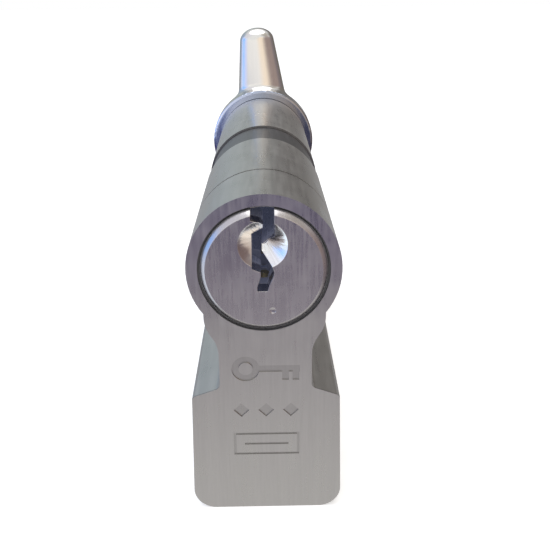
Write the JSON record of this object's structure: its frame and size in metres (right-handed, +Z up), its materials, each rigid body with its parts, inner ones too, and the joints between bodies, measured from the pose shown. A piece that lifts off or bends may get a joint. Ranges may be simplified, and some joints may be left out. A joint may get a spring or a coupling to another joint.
{
  "type": "euro cylinder",
  "caption": "Euro profile lock cylinder with a key plug in front, a thumbturn behind, a cam gap at mid-length and spring-loaded pins inside.",
  "frame": {"origin": "centre of the M5 fixing screw hole, under the cam at mid-length", "axes": "+Y along the lock axis from the key side to the thumbturn, +Z up from the foot to the head, +X to the right seen from the key side"},
  "size_m": [0.0198, 0.0798, 0.0532],
  "materials": {
    "nickel_body": "satin nickel plate on brass, fine brushed",
    "nickel_plug": "satin nickel plate, straight-grained face, polished chamfer",
    "turn_chrome": "satin chrome, smooth",
    "hard_steel": "hardened ground steel",
    "sintered_steel": "dark sintered steel",
    "brass": "turned brass",
    "spring_steel": "drawn spring wire",
    "washer_plastic": "natural nylon",
    "black_steel": "black oxide"
  },
  "bodies": {
    "body": {"cylinder_body": "nickel_body", "body_drill_pins": "hard_steel", "chamber_plugs": "brass", "turn_washer": "washer_plastic", "pin_spring_1": "spring_steel", "pin_spring_2": "spring_steel", "pin_spring_3": "spring_steel", "pin_spring_4": "spring_steel", "pin_spring_5": "spring_steel", "pin_spring_6": "spring_steel"},
    "plug": {"key_plug": "nickel_plug", "plug_drill_pins": "hard_steel", "plug_circlip": "black_steel"},
    "key_pin_1": {"key_pin_1": "brass"},
    "key_pin_2": {"key_pin_2": "brass"},
    "key_pin_3": {"key_pin_3": "brass"},
    "key_pin_4": {"key_pin_4": "brass"},
    "key_pin_5": {"key_pin_5": "brass"},
    "key_pin_6": {"key_pin_6": "brass"},
    "driver_pin_1": {"driver_pin_1": "hard_steel"},
    "driver_pin_2": {"driver_pin_2": "hard_steel"},
    "driver_pin_3": {"driver_pin_3": "hard_steel"},
    "driver_pin_4": {"driver_pin_4": "hard_steel"},
    "driver_pin_5": {"driver_pin_5": "hard_steel"},
    "driver_pin_6": {"driver_pin_6": "hard_steel"},
    "turn": {"thumbturn": "turn_chrome", "turn_spindle": "brass", "spindle_circlip": "black_steel", "turn_grub_screw": "black_steel", "clutch_spring": "spring_steel"},
    "cam": {"cam": "sintered_steel"},
    "clutch": {"clutch": "hard_steel"}
  },
  "joints": [
    {"name": "plug_spin", "type": "hinge", "parent": "body", "child": "plug", "pos_m": [0, -0.02, 0.0205], "axis": [0, 1, 0], "continuous": true},
    {"name": "turn_spin", "type": "hinge", "parent": "body", "child": "turn", "pos_m": [0, 0.02, 0.0205], "axis": [0, 1, 0], "continuous": true},
    {"name": "cam_spin", "type": "hinge", "parent": "body", "child": "cam", "pos_m": [0, 0, 0.0205], "axis": [0, 1, 0], "continuous": true},
    {"name": "clutch_slide", "type": "slide", "parent": "cam", "child": "clutch", "axis": [0, 1, 0], "range_m": [0, 0.0012], "stiffness_N_per_m": 150, "springref_m": -0.002, "deforming": ["clutch_spring"]},
    {"name": "key_pin_1_slide", "type": "slide", "parent": "plug", "child": "key_pin_1", "axis": [0, 0, 1], "range_m": [0, 0.0015]},
    {"name": "key_pin_2_slide", "type": "slide", "parent": "plug", "child": "key_pin_2", "axis": [0, 0, 1], "range_m": [0, 0.0015]},
    {"name": "key_pin_3_slide", "type": "slide", "parent": "plug", "child": "key_pin_3", "axis": [0, 0, 1], "range_m": [0, 0.0015]},
    {"name": "key_pin_4_slide", "type": "slide", "parent": "plug", "child": "key_pin_4", "axis": [0, 0, 1], "range_m": [0, 0.0015]},
    {"name": "key_pin_5_slide", "type": "slide", "parent": "plug", "child": "key_pin_5", "axis": [0, 0, 1], "range_m": [0, 0.0015]},
    {"name": "key_pin_6_slide", "type": "slide", "parent": "plug", "child": "key_pin_6", "axis": [0, 0, 1], "range_m": [0, 0.0015]},
    {"name": "driver_pin_1_slide", "type": "slide", "parent": "body", "child": "driver_pin_1", "axis": [0, 0, -1], "range_m": [0, 0.0012], "stiffness_N_per_m": 120, "springref_m": -0.003, "deforming": ["pin_spring_1"]},
    {"name": "driver_pin_2_slide", "type": "slide", "parent": "body", "child": "driver_pin_2", "axis": [0, 0, -1], "range_m": [0, 0.0012], "stiffness_N_per_m": 120, "springref_m": -0.003, "deforming": ["pin_spring_2"]},
    {"name": "driver_pin_3_slide", "type": "slide", "parent": "body", "child": "driver_pin_3", "axis": [0, 0, -1], "range_m": [0, 0.0012], "stiffness_N_per_m": 120, "springref_m": -0.003, "deforming": ["pin_spring_3"]},
    {"name": "driver_pin_4_slide", "type": "slide", "parent": "body", "child": "driver_pin_4", "axis": [0, 0, -1], "range_m": [0, 0.0012], "stiffness_N_per_m": 120, "springref_m": -0.003, "deforming": ["pin_spring_4"]},
    {"name": "driver_pin_5_slide", "type": "slide", "parent": "body", "child": "driver_pin_5", "axis": [0, 0, -1], "range_m": [0, 0.0012], "stiffness_N_per_m": 120, "springref_m": -0.003, "deforming": ["pin_spring_5"]},
    {"name": "driver_pin_6_slide", "type": "slide", "parent": "body", "child": "driver_pin_6", "axis": [0, 0, -1], "range_m": [0, 0.0012], "stiffness_N_per_m": 120, "springref_m": -0.003, "deforming": ["pin_spring_6"]}
  ],
  "couplings": [
    {"joint": "cam_spin", "follows": "turn_spin", "ratio": 1}
  ]
}
